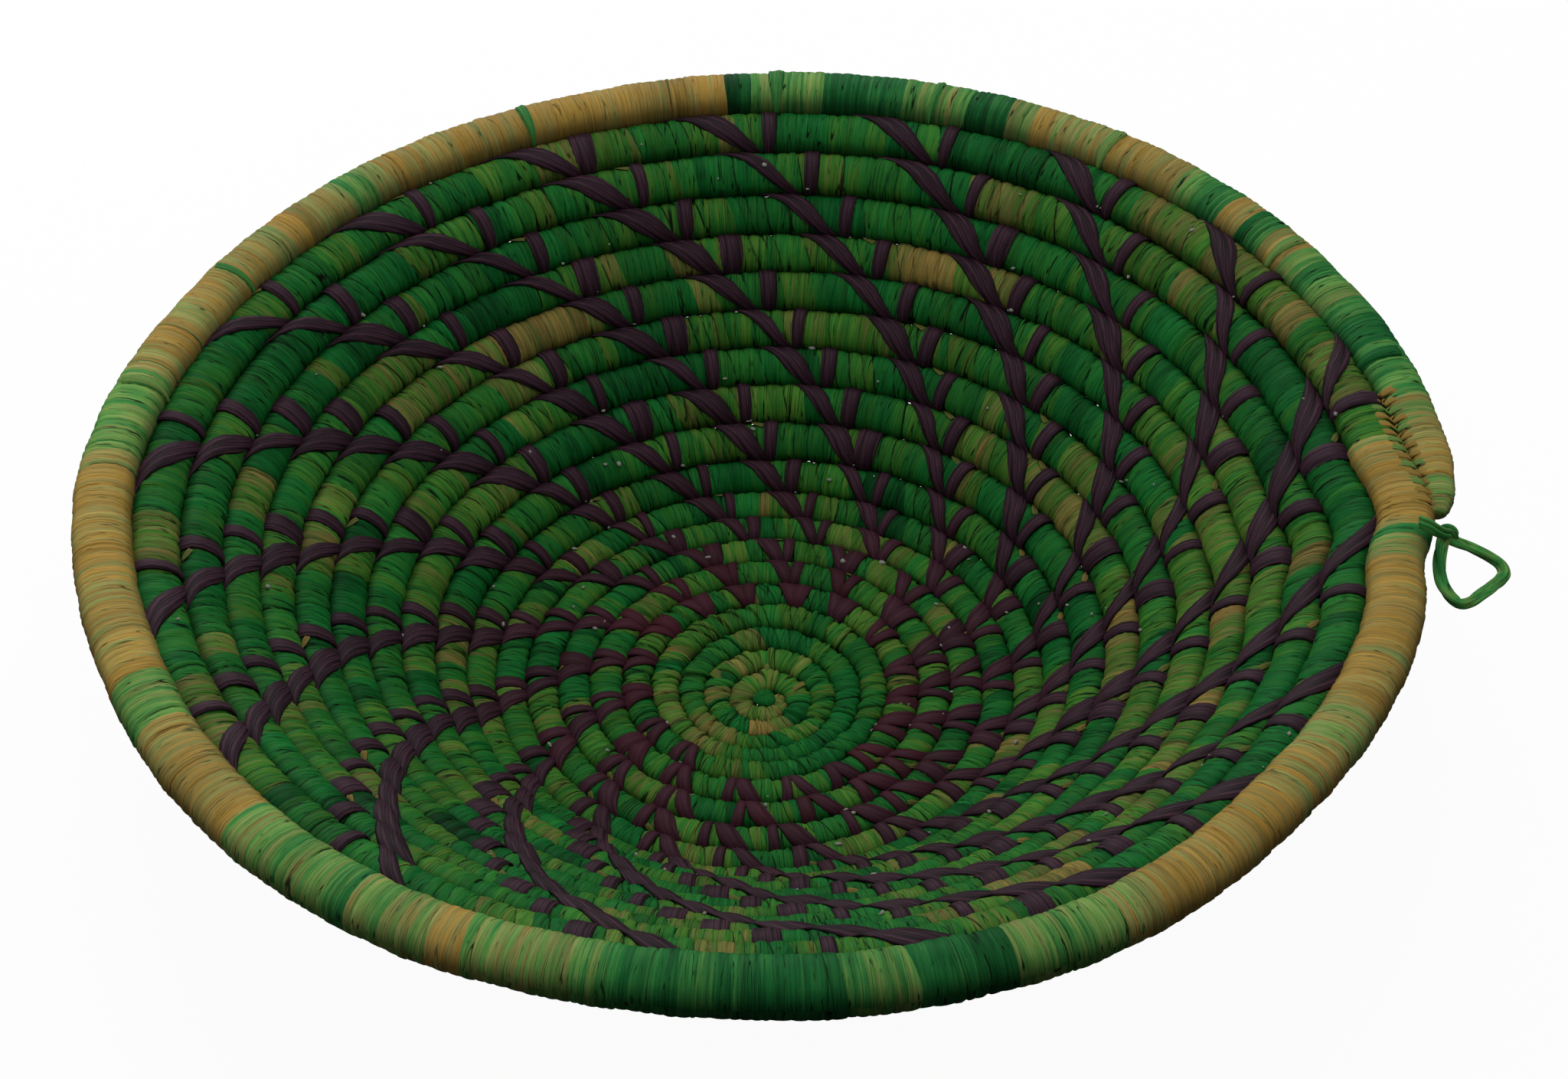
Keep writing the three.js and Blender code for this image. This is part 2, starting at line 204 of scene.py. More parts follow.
# middle of the strand at a number of turns in from the tail
def strandAt(turnsIn):
    wanted = totalTurns - turnsIn
    r, z, slope, half = (np.interp(wanted, winding["turns"], winding[key])
                         for key in ("r", "z", "slope", "half"))
    angle = np.radians(strandShape["tailAngle"] + 360 * turnsIn)
    span = strandShape["tailFullTurn"] - strandShape["tailTipTurn"]
    grown = np.clip((turnsIn - strandShape["tailTipTurn"]) / span, 0, 1)
    thin = strandShape["tailWidth"] / 2
    kept = np.where(turnsIn < strandShape["tailFullTurn"], thin + (half - thin) * grown, half)
    rounded = np.clip((turnsIn - strandShape["tailTipTurn"]) * 360 / strandShape["tailTipRound"], 0, 1)
    tip = strandShape["tailTipShare"]
    kept = kept * (tip + (1 - tip) * np.sqrt(rounded))
    r = r - (half - kept)
    share = np.maximum(0, (r - wallShape["trueRadius"]) / (wallShape["rimRadius"] - wallShape["trueRadius"]))
    for wave in wallShape["waves"]:
        z = z + share ** 2 * wave["rise"] * np.cos(wave["lobes"] * (angle - math.radians(wave["highestAt"])))
        r = r + share * wave["reach"] * np.cos(wave["lobes"] * (angle - math.radians(wave["widestAt"])))
    z = z - np.interp(turnsIn, wornShape["turns"], wornShape["settled"])
    inset = wornShape["rimInset"]
    for dent in wornShape["dents"]:
        away = (np.degrees(angle) - dent["at"]) / dent["reach"]
        inset = inset + dent["depth"] * np.exp(-away ** 2)
    onRim = np.clip((wornShape["rimFade"][1] - turnsIn) / np.ptp(wornShape["rimFade"]), 0, 1)
    r = r - inset * onRim + bulge(turnsIn, angle)
    return r, z, slope, kept, angle


# share of the centre's shift at a radius: whole in the middle, none further out
def offCentre(r):
    return 1 - np.clip((r - wornShape["centreReach"][0]) / np.ptp(wornShape["centreReach"]), 0, 1)


# a point on the strand: section is the angle round it, 0 outwards and 90 degrees inside the bowl
def onStrand(turnsIn, section, proud):
    r, z, slope, half, angle = strandAt(turnsIn)
    outwards = np.stack([np.cos(angle), np.sin(angle)], axis=-1)
    fading = (offCentre(r + 0.5) - offCentre(r - 0.5)) * (outwards @ wornShape["centreShift"])
    half = half * (1 + fading)
    power = 2 / strandShape["squareness"]
    cosine = np.cos(section)
    sine = np.sin(section)
    wide = half + strandShape["swell"] + strandShape["centreSwell"] * offCentre(r)
    across = wide * np.sign(cosine) * np.abs(cosine) ** power + proud * cosine
    lift = strandShape["flatness"] * half * np.sign(sine) * np.abs(sine) ** power + proud * sine
    reach = r + across * np.cos(slope) - lift * np.sin(slope)
    height = np.maximum(z + across * np.sin(slope) + lift * np.cos(slope), lowest)
    level = reach[..., None] * outwards + offCentre(r)[..., None] * wornShape["centreShift"]
    return np.concatenate([level, height[..., None]], axis=-1) * mm


# millimetres along the strand from the tail, and back to turns
turnTable = np.linspace(0, totalTurns - 0.25, 20000)
tableRadius = strandAt((turnTable[1:] + turnTable[:-1]) / 2)[0]
arcTable = runningTotal(2 * math.pi * tableRadius * np.diff(turnTable))


def arcOf(turnsIn):
    return np.interp(turnsIn, turnTable, arcTable)


def turnOf(arc):
    return np.interp(arc, arcTable, turnTable)


# slow waves along the strand with seeded phases, about -1 to 1
def wander(seed, arc, section, lengths):
    draw = random.Random(seed)
    total = 0
    for length in lengths:
        start = draw.uniform(0, 2 * math.pi)
        twist = draw.choice((-2, -1, 0, 1, 2))
        total = total + np.sin(2 * math.pi * arc / length + start + twist * section)
    return total / len(lengths)


def linearColour(written):
    values = [int(written[i:i + 2], 16) / 255 for i in (1, 3, 5)]
    return [v / 12.92 if v <= 0.04045 else ((v + 0.055) / 1.055) ** 2.4 for v in values] + [1.0]


# adds a node with its settings, and links inputs that are given as a node or one of its outputs
def addNode(tree, kind, inputs=None, **settings):
    made = tree.nodes.new("ShaderNode" + kind)
    for name, value in settings.items():
        setattr(made, name, value)
    for name, value in (inputs or {}).items():
        if isinstance(value, bpy.types.Node):
            value = value.outputs[0]
        if isinstance(value, bpy.types.NodeSocket):
            tree.links.new(value, made.inputs[name])
        else:
            made.inputs[name].default_value = value
    return made


def startMaterial(name):
    material = bpy.data.materials.new(name)
    material.use_nodes = True
    material.node_tree.nodes.clear()
    return material, material.node_tree


def setRamp(ramp, stops):
    while len(ramp.elements) < len(stops):
        ramp.elements.new(1)
    for element, (position, colour) in zip(ramp.elements, stops):
        element.position = position
        element.color = linearColour(colour)


# Raffia: split palm leaf, dyed in the hank and wrapped damp, so it dries to a satin skin with fine
# fibres along each wrap. The dye value goes from emerald at 0 through lime to undyed tan at 1.
raffiaSettings = {
    "name": "raffia dyed and wrapped",
    "dyes": [
        (0.0, "#05421a"),
        (0.2, "#11662a"),
        (0.4, "#286f28"),
        (0.56, "#487827"),
        (0.7, "#657036"),
        (0.87, "#84753c"),
        (1.0, "#937b3f"),
    ],
    # painted shade: the near-black colour of the splits and parted edges
    "crackShadeColour": "#050a03",
    "fibreWidth": 0.45,  # mm, a little wider than the real 0.2 so that it shows
    "fibreLength": 16.0,
    "streakWidth": 1.1,
    "streakLength": 26.0,
    "splitWidth": 1.25,  # distance between the dark splits, and how long one runs round the strand
    "splitLength": 22.0,
    "splitThin": 0.036,
    "threadSize": (0.8, 40.0),  # single threads that have stayed yellow
    "blotchSize": (9.0, 9.0),
    "partSize": (1.2, 6.0),  # wraps part over lengths like this where their strip has cracked
    "roughness": 0.55,
    "shine": 0.05,
}


# noise stretched along the wraps: width and length in millimetres
def stretchedNoise(tree, width, length, detail=2.0, shift=0.0):
    lay = addNode(tree, "UVMap", uv_map="lay")
    placed = addNode(tree, "VectorMath", {0: lay, 1: (100 / width, 100 / length, 1),
                                          2: (shift, shift, 0)}, operation="MULTIPLY_ADD")
    return addNode(tree, "TexNoise", {"Vector": placed, "Scale": 1.0, "Detail": detail,
                                      "Roughness": 0.6}, noise_dimensions="2D")


# thin broken lines that follow the wraps, where a noise passes its middle value
def splitLines(tree, width, length, thin, shift):
    noise = stretchedNoise(tree, width, length, 0.0, shift)
    middle = addNode(tree, "Math", {0: noise, 1: 0.5}, operation="SUBTRACT")
    away = addNode(tree, "Math", {0: middle}, operation="ABSOLUTE")
    line = addNode(tree, "MapRange", {"Value": away, "From Min": thin * 0.35, "From Max": thin,
                                      "To Min": 1.0, "To Max": 0.0})
    broken = stretchedNoise(tree, width * 1.2, length * 0.3, 1.0, shift + 7.7)
    kept = addNode(tree, "MapRange", {"Value": broken, "From Min": 0.42, "From Max": 0.54})
    return addNode(tree, "Math", {0: line, 1: kept}, operation="MULTIPLY")


def makeRaffia(settings):
    material, tree = startMaterial(settings["name"])
    dye, tone, crack, paintedShade = (addNode(tree, "Attribute", attribute_name=name).outputs["Fac"]
                               for name in ("dye", "tone", "crack", "paintedShade"))
    fibre = stretchedNoise(tree, settings["fibreWidth"], settings["fibreLength"], 3.0)
    # the dye lies in streaks and blotches, more so where it is paler
    streak = stretchedNoise(tree, settings["streakWidth"], settings["streakLength"], 2.0, 3.1)
    streakShare = addNode(tree, "MapRange", {"Value": dye, "From Min": 0.1, "From Max": 0.6,
                                             "To Min": 0.24, "To Max": 0.62})
    centred = addNode(tree, "Math", {0: streak, 1: 0.5}, operation="SUBTRACT")
    streaked = addNode(tree, "Math", {0: centred, 1: streakShare}, operation="MULTIPLY")
    blotch = stretchedNoise(tree, *settings["blotchSize"], 2.0, 5.3)
    blotched = addNode(tree, "Math", {0: blotch, 1: 0.24, 2: -0.12}, operation="MULTIPLY_ADD")
    thread = stretchedNoise(tree, *settings["threadSize"], 0.0, 43.0)
    yellowed = addNode(tree, "MapRange", {"Value": thread, "From Min": 0.56, "From Max": 0.72,
                                          "To Max": 0.07})
    uneven = addNode(tree, "Math", {0: streaked, 1: blotched}, operation="ADD")
    varied = addNode(tree, "Math", {0: uneven, 1: yellowed}, operation="ADD")
    dyed = addNode(tree, "Math", {0: dye, 1: varied}, operation="ADD", use_clamp=True)
    ramp = addNode(tree, "ValToRGB", {"Fac": dyed})
    setRamp(ramp.color_ramp, settings["dyes"])
    # fibres catch the light, and painted shade darkens the grooves and the strand's lower outside
    lightness = addNode(tree, "Math", {0: tone, 1: 0.5, 2: 0.6}, operation="MULTIPLY_ADD")
    fibreLight = addNode(tree, "Math", {0: fibre, 1: 1.1, 2: 0.45}, operation="MULTIPLY_ADD")
    unshadedLight = addNode(tree, "Math", {0: lightness, 1: fibreLight}, operation="MULTIPLY")
    # painted shade: up to 62% darker where the shade attribute is high
    unshadedShare = addNode(tree, "Math", {0: paintedShade, 1: -0.62, 2: 1.0}, operation="MULTIPLY_ADD")
    light = addNode(tree, "Math", {0: unshadedLight, 1: unshadedShare}, operation="MULTIPLY")
    toned = addNode(tree, "VectorMath", {0: ramp, "Scale": light.outputs[0]}, operation="SCALE")
    # dark splits follow the fibres, and cracked strips part at their edges; their near-black colour is
    # painted shade in the slits
    thin = settings["splitThin"]
    coarse = splitLines(tree, settings["splitWidth"], settings["splitLength"], thin, 11.0)
    fine = splitLines(tree, settings["splitWidth"] * 0.55, settings["splitLength"] * 0.6, thin, 23.0)
    fainter = addNode(tree, "Math", {0: fine, 1: 0.55}, operation="MULTIPLY")
    splits = addNode(tree, "Math", {0: coarse, 1: fainter}, operation="MAXIMUM")
    part = stretchedNoise(tree, *settings["partSize"], 1.0, 31.0)
    partShare = addNode(tree, "MapRange", {"Value": part, "From Min": 0.36, "From Max": 0.5})
    parted = addNode(tree, "Math", {0: partShare, 1: crack}, operation="MULTIPLY")
    cracked = addNode(tree, "Math", {0: parted, 1: splits}, operation="MAXIMUM")
    paler = addNode(tree, "MapRange", {"Value": dye, "From Min": 0.5, "From Max": 0.9,
                                       "To Min": 0.95, "To Max": 0.55})
    darkened = addNode(tree, "Math", {0: cracked, 1: paler}, operation="MULTIPLY")
    colour = addNode(tree, "Mix", {"Factor": darkened, "A": toned,
                                   "B": linearColour(settings["crackShadeColour"])}, data_type="RGBA")
    height = addNode(tree, "Math", {0: fibre, 1: cracked}, operation="SUBTRACT")
    bump = addNode(tree, "Bump", {"Height": height, "Strength": 0.5, "Distance": 0.00025})
    rough = addNode(tree, "MapRange", {"Value": fibre, "To Min": settings["roughness"] - 0.1,
                                       "To Max": settings["roughness"] + 0.15})
    shader = addNode(tree, "BsdfPrincipled", {
        "Base Color": colour.outputs["Result"], "Roughness": rough, "Specular IOR Level": settings["shine"],
        "Normal": bump})
    addNode(tree, "OutputMaterial", {"Surface": shader})
    return material


raffia = makeRaffia(raffiaSettings)

# On the rim the same raffia has faded: its greens are paler and its tan is a warm ochre
rimRaffia = makeRaffia({
    **raffiaSettings,
    "name": "raffia faded on the rim",
    "splitThin": 0.024,
    "dyes": [
        (0.0, "#073818"),
        (0.2, "#165a2a"),
        (0.4, "#337638"),
        (0.56, "#5f8a42"),
        (0.7, "#7d874c"),
        (0.87, "#8f7a40"),
        (1.0, "#997a36"),
    ],
})


# Plum raffia: the same leaf dyed dark purple-brown, flatter and duller, creased along its length
plumSettings = {
    "dark": "#120a0e",
    "middle": "#2e1b25",
    "light": "#4e303e",
    "red": "#401620",
    "fibreWidth": 0.5,
    "fibreLength": 14.0,
    "roughness": 0.6,
    "shine": 0.1,
}


def makePlum(settings):
    material, tree = startMaterial("raffia dyed plum")
    dye, tone = (addNode(tree, "Attribute", attribute_name=name).outputs["Fac"]
                 for name in ("dye", "tone"))
    fibre = stretchedNoise(tree, settings["fibreWidth"], settings["fibreLength"], 3.0)
    ramp = addNode(tree, "ValToRGB", {"Fac": fibre})
    stops = [(0.3, settings["dark"]), (0.52, settings["middle"]), (0.75, settings["light"])]
    setRamp(ramp.color_ramp, stops)
    reddened = addNode(tree, "Mix", {"Factor": dye, "A": ramp, "B": linearColour(settings["red"])},
                       data_type="RGBA")
    light = addNode(tree, "Math", {0: tone, 1: 0.6, 2: 0.7}, operation="MULTIPLY_ADD")
    toned = addNode(tree, "VectorMath", {0: reddened.outputs["Result"], "Scale": light.outputs[0]},
                    operation="SCALE")
    bump = addNode(tree, "Bump", {"Height": fibre, "Strength": 0.4, "Distance": 0.0003})
    shader = addNode(tree, "BsdfPrincipled", {
        "Base Color": toned, "Roughness": settings["roughness"], "Specular IOR Level": settings["shine"],
        "Normal": bump})
    addNode(tree, "OutputMaterial", {"Surface": shader})
    return material


plum = makePlum(plumSettings)
print("raffia materials made")


def meshFrom(name, shape):
    mesh = bpy.data.meshes.new(name)
    shape.to_mesh(mesh)
    shape.free()
    return mesh


# puts a piece in the scene, on its body and for the nodes that it stands for
def linkPiece(name, mesh, material, replaced, body="basket"):
    piece = bpy.data.objects.new(name, mesh)
    scene.collection.objects.link(piece)
    mesh.materials.append(material)
    mesh.shade_smooth()
    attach(piece, body)
    if replaced:
        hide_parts(*replaced)
    return piece


# rows with their first place once more at the end, so that they close round a tube
def closeRows(rows):
    return np.concatenate([rows, rows[:, :1]], axis=1)


# Turns rings of points into one closed tube: a grid is bent to the rings, its seam merged and its ends
# filled. Each row of faces gets its dye, tone and crack, and a map in hundredths of a millimetre. The
# painted shade, if given, says how dark each point round the rings is painted where shade falls in the
# grooves and below.
def tubeFromRings(name, rings, across, along, dye, tone, crack=0, closed=False, paintedShade=None):
    ringCount, sides = rings.shape[:2]
    grid = bmesh.new()
    bmesh.ops.create_grid(grid, x_segments=sides, y_segments=ringCount - 1, size=1)
    mesh = meshFrom(name, grid)
    mesh.vertices.foreach_set("co", closeRows(rings).astype(np.float32).ravel())
    corner = np.zeros(len(mesh.loops), np.int32)
    mesh.loops.foreach_get("vertex_index", corner)
    lay = mesh.uv_layers.new(name="lay")
    places = np.stack(np.broadcast_arrays(across, along), axis=-1).reshape(-1, 2)[corner] / 100
    lay.data.foreach_set("uv", places.astype(np.float32).ravel())
    for key, values in (("dye", dye), ("tone", tone), ("crack", crack)):
        attribute = mesh.attributes.new(key, "FLOAT", "FACE")
        rows = np.broadcast_to(np.asarray(values, np.float32), ringCount - 1)
        attribute.data.foreach_set("value", np.repeat(rows, sides))
    if paintedShade is not None:
        attribute = mesh.attributes.new("paintedShade", "FLOAT", "POINT")
        shadeRing = np.append(paintedShade, paintedShade[0]).astype(np.float32)
        attribute.data.foreach_set("value", np.tile(shadeRing, ringCount))
    solid = bmesh.new()
    solid.from_mesh(mesh)
    bmesh.ops.remove_doubles(solid, verts=solid.verts, dist=1e-7)
    if not closed:
        edges = [edge for edge in solid.edges if edge.is_boundary]
        bmesh.ops.holes_fill(solid, edges=edges, sides=0)
    bmesh.ops.recalc_face_normals(solid, faces=solid.faces)
    solid.to_mesh(mesh)
    solid.free()
    return mesh


def evenPath(path, count):
    run = pathLength(path)
    places = np.linspace(0, run[-1], count)
    return np.stack([np.interp(places, run, path[:, axis]) for axis in range(3)], axis=1)


# a rope of folded strips: lobes twist slowly round the path
def ropeMesh(name, path, radius, shape, dye, tone, upward=(0, 0, 1)):
    step = np.gradient(path, axis=0)
    step /= np.linalg.norm(step, axis=1)[:, None]
    side = np.cross(step, np.array(upward, float))
    side /= np.linalg.norm(side, axis=1)[:, None]
    over = np.cross(side, step)
    run = pathLength(path)[:, None]
    section = np.linspace(0, 2 * math.pi, shape["sides"], endpoint=False)
    lobed = shape["lobes"] * (section[None, :] - 2 * math.pi * run / shape["twist"])
    reach = radius * (1 - shape["depth"] + shape["depth"] * np.abs(np.cos(lobed / 2)) ** 0.7)
    rings = (path[:, None, :] + side[:, None, :] * (reach * np.cos(section))[..., None]
             + over[:, None, :] * (shape["flat"] * reach * np.sin(section))[..., None])
    around = np.linspace(0, 1, shape["sides"] + 1)[None, :] * (2 * math.pi * radius)
    return tubeFromRings(name, rings * mm, around, run, dye, tone)


# The hanging loop: a rope of folded strips with both ends at a knot on the rim. Its points are mm along
# the rim and outwards from it, on a plane that droops. The route is the real loop's, so it lies a few mm
# along from the part's and further out.
loopSettings = {
    "angle": -10.7,
    "thickness": 3.1,
    "meanThickness": 2.2,  # the folded strips lie flat
    "clearance": 0.7,
    "droop": 15.0,  # degrees
    "points": [
        (20.4, 4.6), (16.5, 3.4), (12.4, 2.7), (8.3, 2.6), (4.6, 2.9), (1.1, 3.6), (-1.4, 5.2), (-2.5, 7.4),
        (-1.2, 9.4), (1.5, 11.4), (5.6, 14.4), (9.3, 16.6), (12, 17.3), (14.2, 16.2), (15.4, 13.5),
        (16.2, 9.9), (16.6, 6.3), (17.2, 3.4),
    ],
    "rings": 120,
    "sides": 18,
    "lobes": 3,
    "twist": 48.0,  # mm for one turn of its lobes, which are this deep and flat as shares of its width
    "depth": 0.5,
    "flat": 0.68,
    "knotPlace": 18.2,
    "knotOut": 4.2,
    "knotRadius": 1.5,
    "knotStrip": 0.8,
    "knotTurns": 1.6,
    "knotLength": 2.6,
    "anchorThickness": 1.9,
    "anchorStrips": ((-0.9, 0.32), (0.9, 0.42)),  # how far to the side each lies, and its dye
    "anchorPoints": [(12, -2.7, 7.0), (10.8, -0.9, 7.3), (10.5, 0.8, 6.4), (12.9, 2.6, 3.7), (17, 4, 0.2)],
}


# points given along the rim, outwards and upwards from where the loop is tied on
def inLoopFrame(points, settings):
    turnsIn = 1 + (settings["angle"] - strandShape["tailAngle"]) / 360
    r, z, _, half, angle = (float(value) for value in strandAt(turnsIn))
    r -= float(bulge(turnsIn, angle))
    out = np.array((math.cos(angle), math.sin(angle), 0))
    along = np.array((-out[1], out[0], 0))
    origin = out * (r + half + settings["clearance"] + settings["thickness"] / 2) + np.array((0, 0, z))
    points = np.array(points, float)
    return origin + points[:, :1] * along + points[:, 1:2] * out + points[:, 2:] * np.array((0, 0, 1))


# smooth curve through points, drawn close together
def smoothPath(points, each=24):
    ends = np.concatenate([[2 * points[0] - points[1]], points, [2 * points[-1] - points[-2]]])
    drawn = []
    for i in range(len(points) - 1):
        a, b, c, d = ends[i:i + 4]
        gaps = [np.linalg.norm(q - p) ** 0.5 for p, q in ((a, b), (b, c), (c, d))]
        leave = ((b - a) / gaps[0] - (c - a) / (gaps[0] + gaps[1]) + (c - b) / gaps[1]) * gaps[1]
        arrive = ((c - b) / gaps[1] - (d - b) / (gaps[1] + gaps[2]) + (d - c) / gaps[2]) * gaps[1]
        for t in np.arange(each) / each:
            drawn.append(b + leave * t + (3 * (c - b) - 2 * leave - arrive) * t * t
                         + (2 * (b - c) + leave + arrive) * t ** 3)
    drawn.append(points[-1])
    return np.array(drawn)


def makeLoop(settings):
    droop = math.radians(settings["droop"])
    points = [(u, v * math.cos(droop), -v * math.sin(droop)) for u, v in settings["points"]]
    path = evenPath(smoothPath(inLoopFrame(points, settings)), settings["rings"])
    rows = np.arange(settings["rings"] - 1)
    dyed = 0.36 + 0.16 * np.abs(wander(5, rows, 0, (17, 29)))
    toned = 1.3 + 0.5 * wander(6, rows, 0, (11, 23))
    mesh = ropeMesh("raffia_hanging_loop", path, settings["thickness"] / 2, settings, dyed, toned)
    loop = linkPiece("raffia_hanging_loop", mesh, rimRaffia, ["hanging_loop"], "loop")


makeLoop(loopSettings)

# The dyes by name, as places on the raffia colour ramp
dyes = {"emerald": 0.04, "green": 0.18, "leaf": 0.36, "lime": 0.54, "olive": 0.68, "tan": 0.88}

# The rim's wraps change colour where the maker ran out of one hank: angles in degrees, counterclockwise
# from the side of the hanging loop
rimDyes = [
    (-8, 8, "tan olive lime tan"), (8, 28, "leaf lime green leaf"), (28, 31.5, "leaf lime"),
    (31.5, 34.5, "tan"), (34.5, 37.5, "green"), (37.5, 40, "tan"), (40, 42.7, "emerald"),
    (42.7, 45.5, "lime"), (45.5, 51, "tan"), (51, 60, "lime olive tan"),
    (60, 84, "lime olive green lime tan"), (84, 90, "olive tan lime"), (90, 93, "emerald"),
    (93, 128, "tan"), (128, 132, "olive leaf"), (132, 160, "tan tan olive"), (160, 176, "olive lime leaf"),
    (176, 204, "tan"), (204, 210, "lime leaf"), (210, 224, "tan olive"), (224, 240, "lime leaf green lime"),
    (240, 247, "olive tan"), (247, 253, "lime olive"), (253, 258, "olive tan lime"),
    (258, 263, "emerald green"), (263, 267, "leaf lime"), (267, 275, "green leaf"),
    (275, 280, "olive lime"), (280, 288, "leaf green lime"), (288, 296, "leaf lime"),
    (296, 336, "tan tan olive"), (336, 340, "olive tan"), (340, 350, "tan"), (350, 353, "olive"),
    (353, 354.5, "green"), (354.5, 367, "tan tan olive"),
]
# Lengths of the wall that are lighter than the rest of their turn: turn, angles and dyes
wallDyes = [
    (1, -8, 20, "lime olive leaf"), (1, 28, 48, "lime olive lime"), (1, 48, 72, "green emerald leaf"),
    (1, 272, 296, "olive lime leaf"), (2, 32, 38, "lime olive"), (2, 52, 62, "olive lime"),
    (2, 80, 85, "lime tan"), (2, 125, 132, "lime"), (2, 284, 300, "olive tan lime"),
    (3, 125, 132, "lime green"), (3, 196, 220, "olive lime leaf"), (3, 292, 324, "tan olive lime"),
    (4, -8, 20, "lime leaf lime"), (4, 48, 100, "olive lime tan leaf"), (4, 135, 150, "tan olive lime"),
    (4, 196, 232, "olive lime leaf"), (4, 308, 352, "olive lime tan leaf"), (5, -8, 16, "olive lime tan"),
    (5, 80, 92, "lime leaf"), (5, 112, 128, "tan olive"), (5, 128, 147, "lime olive"),
    (5, 148, 176, "olive lime leaf"), (7, -8, 8, "lime leaf"), (7, 40, 50, "olive green"),
    (7, 140, 168, "lime olive leaf"), (7, 335, 352, "lime olive"), (8, -8, 0, "olive tan"),
    (8, 12, 54, "olive lime olive"), (8, 212, 222, "olive lime"), (9, 92, 100, "lime"),
    (9, 130, 137, "lime"), (10, 180, 190, "olive lime"), (11, 290, 336, "lime olive leaf"),
    (12, 36, 76, "lime olive leaf"), (13, -8, 20, "lime leaf"), (16, 95, 140, "lime"),
    (16, 120, 150, "olive"), (16, 172, 240, "lime olive"), (17, 95, 190, "lime leaf"),
    (17, 200, 245, "olive tan"), (18, 100, 130, "olive"), (18, 145, 180, "olive"),
    (18, 245, 280, "tan olive"), (19, 60, 90, "olive"), (19, 215, 240, "olive lime"),
    (19, 240, 352, "olive leaf"),
]
# The dyes of the other turns, and of those that aren't named
turnDyes = {
    1: "leaf green leaf lime green olive", 8: "green leaf lime", 11: "green leaf emerald lime olive",
    12: "leaf lime leaf green", 13: "green leaf lime", 14: "leaf lime leaf", 15: "green leaf lime",
    16: "leaf green lime", 17: "leaf green olive", 18: "leaf lime olive green", 19: "leaf olive green",
}
plainDyes = "green leaf leaf lime green leaf olive emerald green leaf"


def dyeNames(turnsIn):
    turn = int(turnsIn)
    angle = strandShape["tailAngle"] + 360 * (turnsIn - turn)
    if turnsIn < rimTurns:
        angle = strandShape["tailAngle"] + 360 * turnsIn
        for start, end, names in rimDyes:
            if start <= angle < end:
                return names
    for place, start, end, names in wallDyes:
        if place == turn and start <= angle < end:
            return names
    return turnDyes.get(turn, plainDyes)


# single wraps differ a little within a strip, and near the middle they are lighter, lumpier and crack more
wrapDyeSpread = 0.035
wrapToneSpread = 0.16
lumpyTurns = (13, 16)
lumpier = 1.4
crackedTurn = 15
moreCracks = 1.7
centreLighter = 0.3

# the rim is made lighter on one side, and darker at the front as painted shade, where it faces away from the
# lamps
rimLighterAndShaded = [{"at": 185, "reach": 45, "tone": 0.4}, {"at": 282, "reach": 34, "tone": -0.2}]


# Wraps side by side along a stretch of the strand: where each starts, and its dye, tone and crack
def layWraps(draw, fromTurn, toTurn, settings):
    place = float(arcOf(fromTurn))
    end = float(arcOf(toTurn))
    wraps = {"start": [], "dye": [], "tone": [], "crack": []}
    left = 0
    names = ""
    chosen = dyes[dyeNames(fromTurn).split()[0]]
    while place < end:
        turnsIn = float(turnOf(place))
        if left <= 0 or names != dyeNames(turnsIn):
            names = dyeNames(turnsIn)
            left = draw.randint(*settings["wrapsPerStrip"])
            wanted = dyes[draw.choice(names.split())] + draw.gauss(0, settings["dyeSpread"])
            chosen += (wanted - chosen) * draw.uniform(0.6, 1)
            stripTone = draw.uniform(0.25, 0.75) + settings["toneShift"]
            stripTone += centreLighter * float(offCentre(strandAt(turnsIn)[0]))
            if settings["toneShift"]:
                # lighter on one side, and painted shade at the front of the rim
                for change in rimLighterAndShaded:
                    away = (strandShape["tailAngle"] + 360 * turnsIn - change["at"]) / change["reach"]
                    stripTone += change["tone"] * math.exp(-away ** 2)
        left -= 1
        small = min(1, float(strandAt(turnsIn)[3]) / fullHalf)
        width = max(settings["narrowest"], draw.gauss(settings["width"], settings["widthSpread"])) * small
        wraps["start"].append(place)
        wraps["dye"].append(min(1, max(0, chosen + draw.gauss(0, wrapDyeSpread))))
        wraps["tone"].append(max(0, stripTone + draw.gauss(0, wrapToneSpread)))
        cracked = settings["crackShare"] * (moreCracks if turnsIn > crackedTurn else 1)
        wraps["crack"].append(draw.uniform(0.6, 1) if draw.random() < cracked else 0.0)
        place += width
    if len(wraps["start"]) > 1 and end - wraps["start"][-1] < settings["narrowest"] * 0.5:
        for values in wraps.values():
            values.pop()
    return {key: np.array(values) for key, values in wraps.items()}, end


ringPlaces = np.array((0.06, 0.34, 0.67, 0.94))  # along each wrap
ringProud = np.array((-0.05, 0.12, 0.14, 0.02))  # mm, so that each wrap overlaps the next a little
crackDepth = 0.22  # mm
swellingLimits = (-0.2, 0.16)  # mm
slantWander = 0.9  # mm
grooveFrom = 0.62  # share of the half width, past which it gets painted shade in the groove
endTuck = 0.2  # mm, where a piece ends under the next


